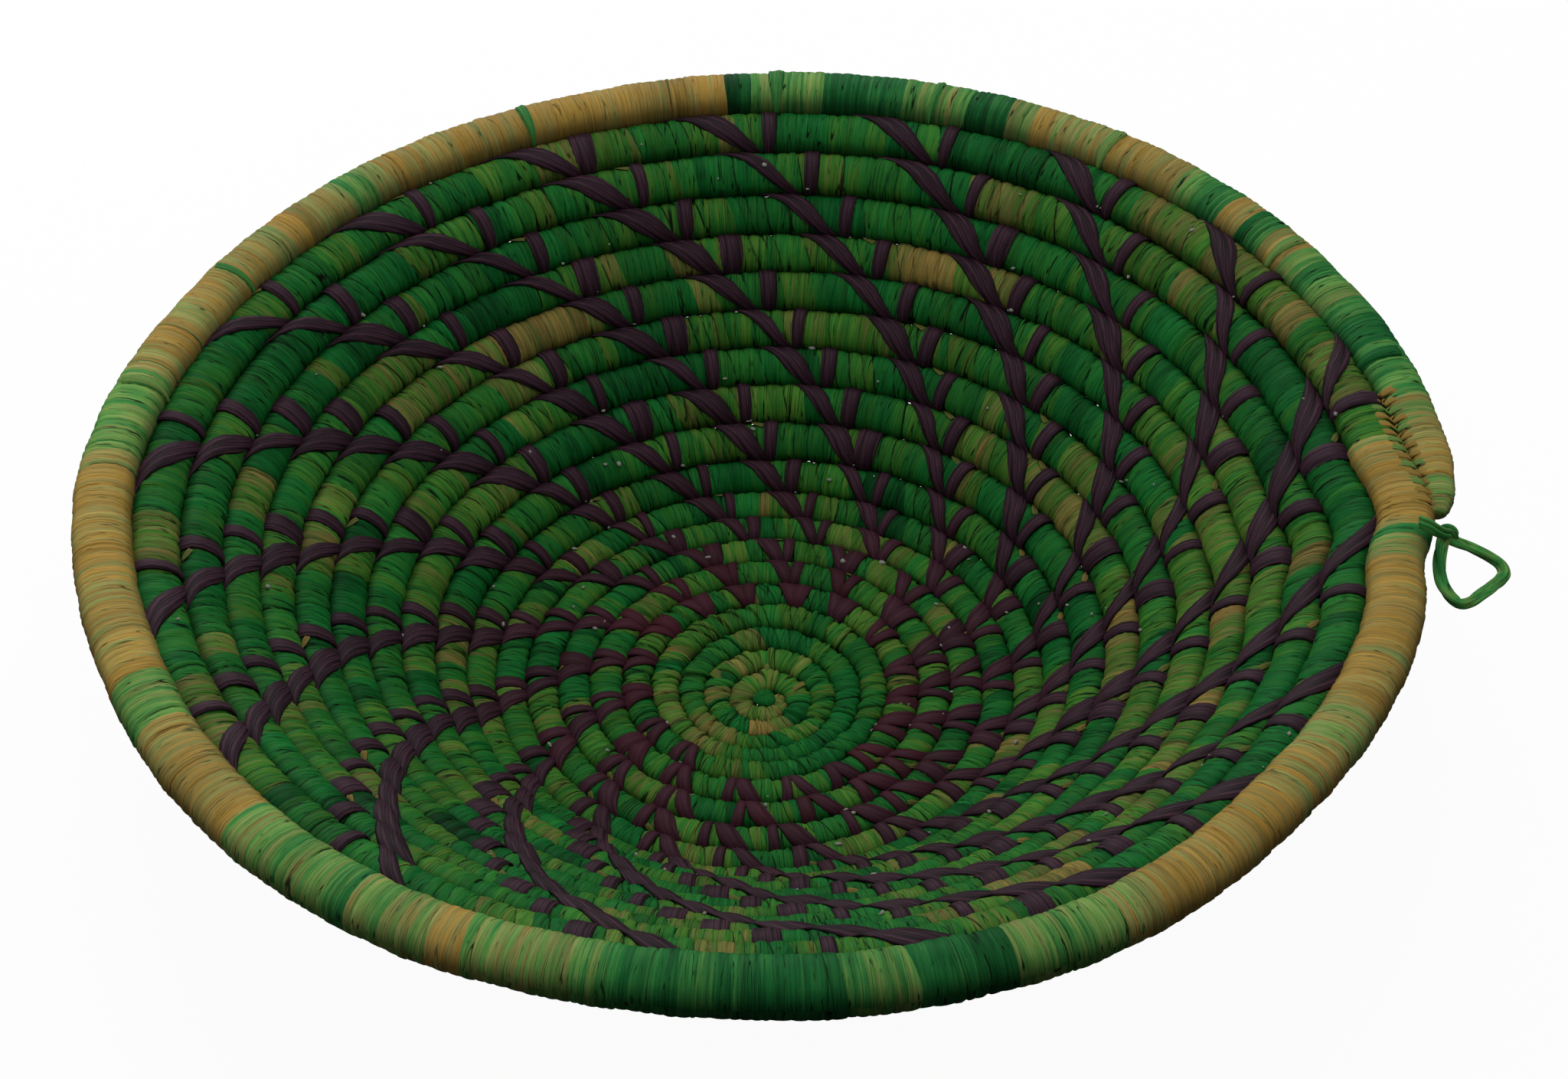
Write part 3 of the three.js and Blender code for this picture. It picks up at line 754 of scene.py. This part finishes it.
# Bends wraps round the strand and makes them one closed tube
def wrapPiece(name, draw, wraps, end, settings):
    count = len(wraps["start"])
    sides = settings["sides"]
    section = np.linspace(0, 2 * math.pi, sides, endpoint=False)
    border = np.append(wraps["start"], end)
    slant = settings["slant"] + slantWander * wander(settings["seed"], border, 0, (61, 97, 173))
    edge = border[:, None] + slant[:, None] * np.cos(section)[None, :]
    uneven = np.array([draw.uniform(0, 2 * math.pi) for _ in border])
    edge += settings["uneven"] * np.sin(2 * section[None, :] + uneven[:, None])
    edge[0] = border[0]
    edge[-1] = border[-1]
    shares = np.tile(ringPlaces, count)
    strip = np.repeat(np.arange(count), len(ringPlaces))
    arc = edge[strip] * (1 - shares[:, None]) + edge[strip + 1] * shares[:, None]
    swelling = np.array([draw.gauss(0, settings["proudSpread"]) for _ in range(count)])
    inner = np.clip((turnOf(wraps["start"]) - lumpyTurns[0]) / np.ptp(lumpyTurns), 0, 1)
    swelling = np.clip(swelling, *swellingLimits) * (1 + lumpier * inner)
    proud = np.tile(ringProud, count) * settings["proudScale"] + swelling[strip] + settings["grow"]
    proud = proud - np.where(shares > 0.9, wraps["crack"][strip] * crackDepth, 0)
    proud[4::4] -= wraps["crack"][:-1] * crackDepth
    arc = np.concatenate([edge[:1], arc, edge[-1:]])
    proud = np.concatenate([proud[:1] - endTuck, proud, proud[-1:] - endTuck])
    slow = wander(settings["seed"] + 1, arc, section[None, :], (13, 23, 41)) * settings["lumps"]
    turnsIn = turnOf(arc)
    rings = onStrand(turnsIn, section[None, :], proud[:, None] + slow)
    rowStrip = np.concatenate([[0], strip])
    crackRow = np.zeros(len(rowStrip))
    crackRow[4:-1:4] = wraps["crack"][:len(crackRow[4:-1:4])]
    half = strandAt(turnsIn[:, 0])[3]
    around = np.linspace(0, 1, sides + 1)[None, :] * (2 * math.pi * half)[:, None]
    sideways = np.cos(section)
    # painted shade in the grooves between turns, where shade falls
    paintedShade = np.clip((np.abs(sideways) - grooveFrom) / (1 - grooveFrom), 0, 1) ** 1.5
    # painted shade on the strand's outside below an angle, which faces away from the lamps
    lowerShade = np.clip(1 - np.sin(section) / math.sin(math.radians(settings["shadeBelow"])), 0, 1)
    outside = np.maximum(paintedShade * settings["outerGrooveShade"], lowerShade * settings["lowerShade"])
    paintedShade = np.where(sideways > 0, outside, paintedShade)
    return tubeFromRings(name, rings, closeRows(arc), around, wraps["dye"][rowStrip],
                         wraps["tone"][rowStrip], crackRow, paintedShade=paintedShade)


# The wall's wraps, in mm: toneShift lightens them, and two settings paint shade: one into the grooves
# outside, and one on the strand's outside below an angle in degrees
wallWraps = {"seed": 11, "width": 3.1, "widthSpread": 1.2, "narrowest": 1.4, "wrapsPerStrip": (1, 4),
             "dyeSpread": 0.06, "crackShare": 0.45, "sides": 16, "slant": 1.1, "uneven": 0.22,
             "proudSpread": 0.1, "proudScale": 1.0, "lumps": 0.14, "grow": 0.0,
             "toneShift": 0.0, "outerGrooveShade": 1.0, "lowerShade": 0.0, "shadeBelow": 42.0}
wallPieces = 4


def makeWall(settings):
    draw = random.Random(settings["seed"])
    wraps, end = layWraps(draw, rimTurns, totalTurns - strandShape["firstTurn"], settings)
    count = len(wraps["start"])
    cuts = [round(count * i / wallPieces) for i in range(wallPieces + 1)]
    for i in range(wallPieces):
        part = {key: values[cuts[i]:cuts[i + 1]] for key, values in wraps.items()}
        last = wraps["start"][cuts[i + 1]] if i < wallPieces - 1 else end
        name = f"wrapped_strand_{i + 1:02d}"
        mesh = wrapPiece(name, draw, part, float(last), settings)
        linkPiece(name, mesh, raffia, ["bound_strand"])
    print("wall:", count, "wraps")


makeWall(wallWraps)

rimWraps = {**wallWraps, "seed": 29, "width": 2.2, "widthSpread": 0.6, "narrowest": 1.1,
            "wrapsPerStrip": (2, 5), "dyeSpread": 0.04, "crackShare": 0.07, "slant": 0.4, "uneven": 0.2,
            "proudSpread": 0.06, "proudScale": 0.8, "lumps": 0.2, "grow": 0.45, "toneShift": 0.5,
            "outerGrooveShade": 0.0, "lowerShade": 1.0}
rimStretches = [
    ("tail_binding", 2), ("rim_binding_01", 1), ("rim_binding_02", 1), ("rim_binding_03", 3),
    ("rim_binding_04", 2), ("rim_binding_05", 1), ("rim_binding_06", 1), ("rim_binding_07", 2),
    ("rim_binding_08", 2), ("rim_binding_09", 5), ("rim_binding_10", 3), ("loop_binding", 1),
    ("rim_binding_11", 1),
]


def makeRim(settings):
    draw = random.Random(settings["seed"])
    step = 0
    for node, steps in rimStretches:
        fromTurn = max(step / stepsPerTurn, strandShape["tailTipTurn"])
        step += steps
        wraps, end = layWraps(draw, fromTurn, step / stepsPerTurn, settings)
        name = f"wrapped_{node}"
        mesh = wrapPiece(name, draw, wraps, end, settings)
        linkPiece(name, mesh, rimRaffia, [node])
    print("rim:", len(rimStretches), "stretches")


makeRim(rimWraps)


# Plum stitches: each goes straight over its turn and slants back over it to the next. The lines say where
# they stand, in degrees, each round drifts on from the one before, and the inner rounds have fewer.
stitchSettings = {
    "lines": [12.5, 31.5, 51, 70.5, 90, 110, 129, 148.5, 169.5, 191, 212.5, 235, 258.5, 279, 297, 314,
              331.5, 352],
    "innerLines": [6, 21, 40, 57, 74, 98, 122, 143, 166, 188, 211, 233, 256, 281, 303, 326, 347],
    "drift": 5.0,
    "outerRounds": 12,
    "rounds": 15,
    "lastTurn": 15.7,
    "slantAngle": 12.4,
    "uprightWidth": 3.9,
    "slantWidth": 5.1,
    "footWidth": 1.1,
    "thickness": 0.32,
    "grooveAngle": 24.0,  # degrees past the widest point of the section, where a stitch goes into the groove
    "tuftShare": 0.22,
    "redWithin": 75.0,  # mm from the middle, where the dye has kept its red
    "redFade": 45.0,
    "seed": 47,
}
ribbonAcross = np.array((-0.5, -0.44, -0.14, 0.18, 0.44, 0.5))
ribbonHeight = np.array((-0.5, 0.75, 1.0, 0.82, 0.7, -0.5))
ribbonLift = 0.32  # mm, over the lumps of the wraps


# A flat strip laid on the strand: middle line in mm along the strand and angle round its section
def layRibbon(name, turnsIn, alongOffset, section, width, thickness, crease, dye, tone, closed=False):
    arc = arcOf(turnsIn) + alongOffset
    half = float(strandAt(turnsIn)[3])
    stepAlong = np.gradient(alongOffset)
    stepRound = np.gradient(section * half)
    length = np.hypot(stepAlong, stepRound)
    offset = width[:, None] * ribbonAcross[None, :]
    places = arc[:, None] + offset * (stepRound / length)[:, None]
    angles = section[:, None] - offset * (stepAlong / length)[:, None] / half
    creased = ribbonHeight * (1 + crease * np.array((0, -1, 1, -1, 1, 0)))
    height = (thickness * np.ones(len(section)))[:, None] * creased[None, :]
    rings = onStrand(turnOf(places), angles, height + ribbonLift)
    if closed:
        rings[-1] = rings[0]
    run = runningTotal(length[1:])[:, None]
    return tubeFromRings(name, rings, closeRows(offset), run, dye, tone, closed=closed)


# A flat strip along a path of its own, in mm, with its sideways and upward directions
def layStrip(name, path, sideways, over, width, height, dye, tone):
    offset = width[:, None] * ribbonAcross[None, :]
    rings = path[:, None, :] + sideways * offset[..., None] + over * height[..., None]
    return tubeFromRings(name, rings * mm, closeRows(offset), pathLength(path)[:, None], dye, tone)


def stitchTurns(settings, index):
    lines = settings["lines"] if index < settings["outerRounds"] else settings["innerLines"]
    turns = [1 + ((line + 360 * index) / (1 + settings["drift"] / 360) - strandShape["tailAngle"]) / 360
             for line in lines]
    return [turn for turn in turns if turn < settings["lastTurn"]]


def joinMeshes(name, meshes):
    joined = bmesh.new()
    for mesh in meshes:
        joined.from_mesh(mesh)
        bpy.data.meshes.remove(mesh)
    return meshFrom(name, joined)


def makeStitches(settings):
    draw = random.Random(settings["seed"])
    foot = math.pi + math.radians(settings["grooveAngle"])
    made = 0
    tufts = []
    for index in range(settings["rounds"]):
        meshes = []
        for turnsIn in stitchTurns(settings, index):
            r, _, _, half, _ = (float(value) for value in strandAt(turnsIn))
            scale = min(1, half / fullHalf)
            redness = min(1, max(0, (settings["redWithin"] - r) / settings["redFade"]))
            redness *= draw.uniform(0.3, 0.9)
            tone = draw.uniform(0.2, 0.8)
            ends = np.linspace(0, 1, 13)
            section = foot - (foot + 0.1) * (1 - (1 - ends) ** 1.45)
            run = math.radians(settings["slantAngle"] * draw.uniform(0.85, 1.08)) * r
            belly = np.sin(math.pi * ends ** 1.15) ** 0.8
            widest = settings["slantWidth"] * scale * draw.uniform(0.65, 1.15)
            width = settings["footWidth"] + (widest - settings["footWidth"]) * belly
            thickness = settings["thickness"] * (1 - 0.4 * ends ** 3)
            crease = draw.uniform(-0.15, 0.15)
            meshes.append(layRibbon("slant", turnsIn, run * ends, section, width, thickness, crease, redness,
                                    tone))
            ends = np.linspace(0, 1, 15)
            turned = ends * 2 * math.pi
            left = (1 - ends) * 2 * math.pi
            fullness = 1 - 0.6 * np.exp(-(turned / 0.95) ** 2) - 0.6 * np.exp(-(left / 0.6) ** 2)
            wide = settings["uprightWidth"] * scale * draw.choice((0.8, 0.9, 1.0, 1.1, 1.5))
            lean = draw.uniform(-0.6, 0.6) * np.sin(turned)
            crease = draw.uniform(-0.15, 0.15)
            meshes.append(layRibbon("upright", turnsIn, lean, foot - turned, wide * fullness,
                                    settings["thickness"] * 1.1, crease, redness, tone, closed=True))
            if draw.random() < settings["tuftShare"]:
                ends = np.linspace(0, 1, 6)
                beside = wide / 2 + (0.2 + 3.2 * ends) * scale
                width = (0.3 + 1.2 * np.sin(math.pi * (0.25 + 0.7 * ends))) * scale
                colour = dyes[draw.choice(("tan", "olive", "olive"))]
                tufts.append(layRibbon("tuft", turnsIn, beside, 0.85 - 0.45 * ends, width, 0.08, 0.1, colour,
                                       0.2))
            made += 1
        node = f"plum_stitches_round_{index + 1:02d}"
        linkPiece(f"raffia_{node}", joinMeshes(node, meshes), plum, [node])
    linkPiece("raffia_tufts", joinMeshes("tufts", tufts), raffia, [])
    print("stitches:", made, "tufts:", len(tufts))


makeStitches(stitchSettings)


# Green tongues of raffia that dip from the rim into the groove under it: angles in degrees along the rim,
# and where each starts round the strand's section and how far it goes
tongueSettings = {"angles": (17, 33, 54, 72, 88, 113, 148, 165), "start": 62, "dip": 135, "width": 3.4,
                  "thickness": 0.35, "seed": 53}


def makeTongues(settings):
    draw = random.Random(settings["seed"])
    meshes = []
    for angle in settings["angles"]:
        ends = np.linspace(0, 1, 9)
        turnsIn = (angle - strandShape["tailAngle"]) / 360
        width = settings["width"] * draw.uniform(0.6, 1.2) * (1.05 - ends ** 2)
        slant = draw.uniform(-0.8, 0.8) * ends
        thickness = settings["thickness"] * (1 - 0.5 * ends) + rimWraps["grow"]
        dye = dyes[draw.choice(("leaf", "green", "lime"))]
        section = np.radians(settings["start"] + settings["dip"] * ends)
        meshes.append(layRibbon("tongue", turnsIn, slant, section, width, thickness, 0.1, dye, 0.8))
    linkPiece("raffia_rim_tongues", joinMeshes("rim_tongues", meshes), rimRaffia, [])


makeTongues(tongueSettings)


def makeLoopKnot(settings):
    middle = inLoopFrame([(settings["knotPlace"], settings["knotOut"], -1)], settings)[0]
    ends = inLoopFrame([(0, 0, 0), (1, 0, 0), (0, 1, 0)], settings)
    along = ends[1] - ends[0]
    out = ends[2] - ends[0]
    upward = np.array((0, 0, 1))
    t = np.linspace(0, 1, 60)
    turned = 2 * math.pi * settings["knotTurns"] * t
    coil = settings["knotRadius"] * np.stack([np.cos(turned), np.sin(turned)], axis=1)
    path = middle + along * ((t - 0.5) * settings["knotLength"])[:, None]
    path = path + out * coil[:, :1] + upward * coil[:, 1:]
    shape = {"sides": 10, "lobes": 2, "twist": 60.0, "depth": 0.25, "flat": 0.8}
    mesh = ropeMesh("raffia_loop_knot", path, settings["knotStrip"], shape, 0.42,
                    np.linspace(1.0, 1.5, 59), along)
    linkPiece("raffia_loop_knot", mesh, rimRaffia, ["loop_knot"])
    tie = evenPath(smoothPath(inLoopFrame(settings["anchorPoints"], settings)), 40)
    shape = {"sides": 12, "lobes": 2, "twist": 400.0, "depth": 0.3, "flat": 0.7}
    meshes = []
    for beside, dye in settings["anchorStrips"]:
        meshes.append(ropeMesh("strip", tie + along * beside, settings["anchorThickness"] / 2, shape, dye,
                               1.2, along))
    mesh = joinMeshes("raffia_loop_anchor", meshes)
    linkPiece("raffia_loop_anchor", mesh, rimRaffia, ["loop_anchor"])


makeLoopKnot(loopSettings)

# Where the strand begins: its end is folded over and tied down through the middle
knotSettings = {"radius": 2.6, "stem": 1.0, "thickness": 1.1, "rings": 12, "sides": 28, "folds": 3,
                "foldDepth": 0.07, "foldsBeyond": 1.5}


def makeCentreKnot(settings):
    start = totalTurns - strandShape["firstTurn"]
    _, z, _, half, _ = (float(value) for value in strandAt(start))
    base = z + strandShape["flatness"] * half - 0.1
    sides = settings["sides"]
    section = np.linspace(0, 2 * math.pi, sides, endpoint=False)
    profile = [(settings["stem"], 0.3), (settings["stem"], base - 0.2), (settings["radius"] * 0.9, base)]
    for t in np.linspace(0, 1, settings["rings"]):
        lift = math.sin(t * math.pi / 2)
        profile.append((settings["radius"] * max(0.04, math.cos(t * math.pi / 2) ** 0.8),
                        base + 0.2 + settings["thickness"] * lift))
    rings = []
    for radius, height in profile:
        fold = settings["foldDepth"] if radius > settings["foldsBeyond"] else 0
        reach = radius * (1 + fold * np.cos(settings["folds"] * section + radius * 0.9))
        rings.append(np.stack([reach * np.cos(section), reach * np.sin(section), np.full(sides, height)],
                              axis=-1))
    rings = np.array(rings)
    rings[..., :2] += wornShape["centreShift"]
    around = np.linspace(0, 2 * math.pi * settings["radius"], sides + 1)[None, :]
    along = np.linspace(0, 9, len(rings))[:, None]
    mesh = tubeFromRings("raffia_centre_knot", rings * mm, around, along, 0.2, 0.5)
    linkPiece("raffia_centre_knot", mesh, raffia, ["centre_knot"])


makeCentreKnot(knotSettings)

# Gathered strips that cross the first turns: angle, radii from and to, width in mm, and dye
foldSettings = {
    "strips": [
        (86, 5.8, 11.2, 1.3, "olive"), (20, 6.4, 10.6, 1.6, "olive"), (150, 10.4, 14.4, 2.8, "olive"),
    ],
    "thickness": 0.16,
    "top": 4.15,  # mm, their height in the middle of the bowl
    "rise": 0.012,
    "dip": 1.3,  # how far their ends go down into the grooves
    "seed": 71,
}


def makeFolds(settings):
    draw = random.Random(settings["seed"])
    meshes = []
    for degrees, near, far, wide, dyeName in settings["strips"]:
        t = np.linspace(0, 1, 12)
        radius = near + (far - near) * t
        angle = math.radians(degrees) + draw.uniform(-0.06, 0.06) * t
        top = settings["top"] + settings["rise"] * radius - settings["dip"] * (2 * t - 1) ** 4
        path = np.stack([radius * np.cos(angle), radius * np.sin(angle), top], axis=1)
        path[:, :2] += offCentre(radius)[..., None] * wornShape["centreShift"]
        sideways = np.array((-math.sin(angle[0]), math.cos(angle[0]), 0))
        width = wide * (1 - 0.5 * (2 * t - 1) ** 4)
        height = settings["thickness"] * (ribbonHeight * np.array((1, 1, 0.6, 1.2, 0.7, 1)))
        height = np.ones((12, 1)) * height[None, :]
        dye = dyes[dyeName] + draw.uniform(-0.05, 0.05)
        meshes.append(layStrip("fold", path, sideways, np.array((0, 0, 1)), width, height, dye,
                               draw.uniform(0.3, 0.6)))
    linkPiece("raffia_centre_folds", joinMeshes("centre_folds", meshes), raffia, [])


makeFolds(foldSettings)

# Fingers of raffia from the tail and from the turn beneath meet over the groove between them. Each goes
# from its root on its own turn to its tip on the other, in degrees round their sections.
seamSettings = {
    "stitches": 13,
    "firstTurn": 6.4 / 360,
    "pitchTurn": 1.15 / 360,
    "fromTurn": ((78, 24), (160, 148)),
    "fromTail": ((110, 156), (20, 34)),
    "width": 2.9,
    "thickness": 0.3,
    "tanShare": 0.6,
    "seed": 61,
}


def makeSeam(settings):
    draw = random.Random(settings["seed"])
    meshes = []
    t = np.linspace(0, 1, 8)
    for i in range(settings["stitches"]):
        onTail = settings["firstTurn"] + i * settings["pitchTurn"]
        for own, other, place in ((1, 0, onTail), (0, 1, onTail + settings["pitchTurn"] / 2)):
            ownWay, otherWay = settings["fromTurn" if own else "fromTail"]
            ownSection = np.radians(np.linspace(*ownWay, 5))
            otherSection = np.radians(np.linspace(*otherWay, 3))
            grow = rimWraps["grow"] if place + own < rimTurns else 0
            proud = grow + np.array((-0.5, -0.15, 0.12, 0.3, 0.35))
            first = onStrand(np.full(5, place + own), ownSection, proud)
            second = onStrand(np.full(3, place + other), otherSection, np.full(3, rimWraps["grow"] + 0.3))
            path = evenPath(np.concatenate([first, second]) / mm, 8)
            angle = float(strandAt(place)[4])
            sideways = np.array((-math.sin(angle), math.cos(angle), 0))
            over = np.cross(np.gradient(path, axis=0), sideways)
            over /= np.linalg.norm(over, axis=1)[:, None]
            over *= np.sign(over[:, 2:])
            width = settings["width"] * draw.uniform(0.85, 1.1) * (1 - 0.88 * t ** 1.3)
            height = settings["thickness"] * ribbonHeight[None, :] * (1 - 0.3 * t[:, None])
            dye = dyes["tan" if draw.random() < settings["tanShare"] else "lime"]
            meshes.append(layStrip("finger", path, sideways, over[:, None, :], width, height, dye,
                                   draw.uniform(0.4, 0.8)))
    linkPiece("raffia_tail_seam", joinMeshes("tail_seam", meshes), rimRaffia, ["tail_seam"])


makeSeam(seamSettings)
print("loop, knot and seam made")

# Dust and lint caught in the raffia: specks, mostly at the feet of the stitches
lintSettings = {"specks": 190, "size": 0.95, "feetShare": 0.6, "proud": 0.35, "dark": "#5e6158",
                "colour": "#a9aba0", "seed": 83}


def makeLint(settings):
    draw = random.Random(settings["seed"])
    material, tree = startMaterial("dust and lint")
    grain = addNode(tree, "TexNoise", {"Scale": 2500.0, "Detail": 1.0})
    ramp = addNode(tree, "ValToRGB", {"Fac": grain})
    setRamp(ramp.color_ramp, [(0.35, settings["dark"]), (0.65, settings["colour"])])
    shader = addNode(tree, "BsdfPrincipled", {"Base Color": ramp, "Roughness": 0.9,
                                              "Specular IOR Level": 0.05})
    addNode(tree, "OutputMaterial", {"Surface": shader})
    feet = [turn for index in range(stitchSettings["rounds"]) for turn in stitchTurns(stitchSettings, index)]
    specks = bmesh.new()
    for _ in range(settings["specks"]):
        if draw.random() < settings["feetShare"]:
            turnsIn = draw.choice(feet) + draw.gauss(0, 0.003)
            section = math.radians(draw.uniform(140, 172))
        else:
            turnsIn = draw.uniform(1.1, 15)
            section = math.radians(draw.uniform(40, 130))
        spot = (np.array([value]) for value in (turnsIn, section, settings["proud"]))
        place = Vector(onStrand(*spot)[0])
        size = settings["size"] * draw.uniform(0.5, 1.5) * mm
        stretch = Matrix.Diagonal((draw.uniform(0.7, 1.8), draw.uniform(0.6, 1.2), 0.6, 1))
        spun = Matrix.Rotation(draw.uniform(0, 2 * math.pi), 4, "Z")
        bmesh.ops.create_icosphere(specks, subdivisions=1, radius=size / 2,
                                   matrix=Matrix.Translation(place) @ spun @ stretch)
    linkPiece("lint_specks", meshFrom("lint_specks", specks), material, [])


makeLint(lintSettings)

# The floor is white to the camera and grey to the light that bounces off it
floorSettings = {"side": 6.0, "colour": "#ffffff", "bounce": "#505050", "glowShare": 0.95}


def makeFloor(settings):
    grid = bmesh.new()
    bmesh.ops.create_grid(grid, x_segments=1, y_segments=1, size=settings["side"] / 2)
    mesh = meshFrom("floor", grid)
    floor = bpy.data.objects.new("floor", mesh)
    scene.collection.objects.link(floor)
    material, tree = startMaterial("white paper backdrop")
    seen = addNode(tree, "LightPath").outputs["Is Camera Ray"]
    white = linearColour(settings["colour"])
    lit = addNode(tree, "Mix", {"Factor": seen, "A": linearColour(settings["bounce"]), "B": white},
                  data_type="RGBA")
    paper = addNode(tree, "BsdfDiffuse", {"Color": lit.outputs["Result"]})
    glow = addNode(tree, "Emission", {"Color": white, "Strength": 1.0})
    share = addNode(tree, "Math", {0: seen, 1: settings["glowShare"]}, operation="MULTIPLY")
    mixed = addNode(tree, "MixShader", {0: share, 1: paper, 2: glow})
    addNode(tree, "OutputMaterial", {"Surface": mixed})
    mesh.materials.append(material)


makeFloor(floorSettings)

# Soft daylight: places in metres and power in watts of the lamps, all of one size
lightSettings = {
    "world": 0.25,
    "size": 1.2,
    "lamps": [
        {"name": "window light", "place": (-0.4, 1.45, 0.75), "power": 12.0},
        {"name": "ceiling light", "place": (0, 0.3, 1.6), "power": 8.0},
        {"name": "side light", "place": (-1.4, 0, 0.6), "power": 6.0},
        {"name": "far light", "place": (1.4, 0.2, 0.7), "power": 4.5},
    ],
}


def makeLights(settings):
    world = bpy.data.worlds.new("white room")
    world.use_nodes = True
    tree = world.node_tree
    tree.nodes.clear()
    seen = addNode(tree, "LightPath").outputs["Is Camera Ray"]
    strength = addNode(tree, "MapRange", {"Value": seen, "To Min": settings["world"], "To Max": 1.0})
    background = addNode(tree, "Background", {"Color": (1, 1, 1, 1), "Strength": strength})
    addNode(tree, "OutputWorld", {"Surface": background})
    scene.world = world
    for lamp in settings["lamps"]:
        data = bpy.data.lights.new(lamp["name"], "AREA")
        data.shape = "SQUARE"
        data.size = settings["size"]
        data.energy = lamp["power"]
        placed = bpy.data.objects.new(lamp["name"], data)
        placed.location = lamp["place"]
        placed.rotation_euler = (-Vector(lamp["place"])).to_track_quat("-Z", "Y").to_euler()
        scene.collection.objects.link(placed)


makeLights(lightSettings)
scene.view_settings.view_transform = "Standard"

print("scene ready")
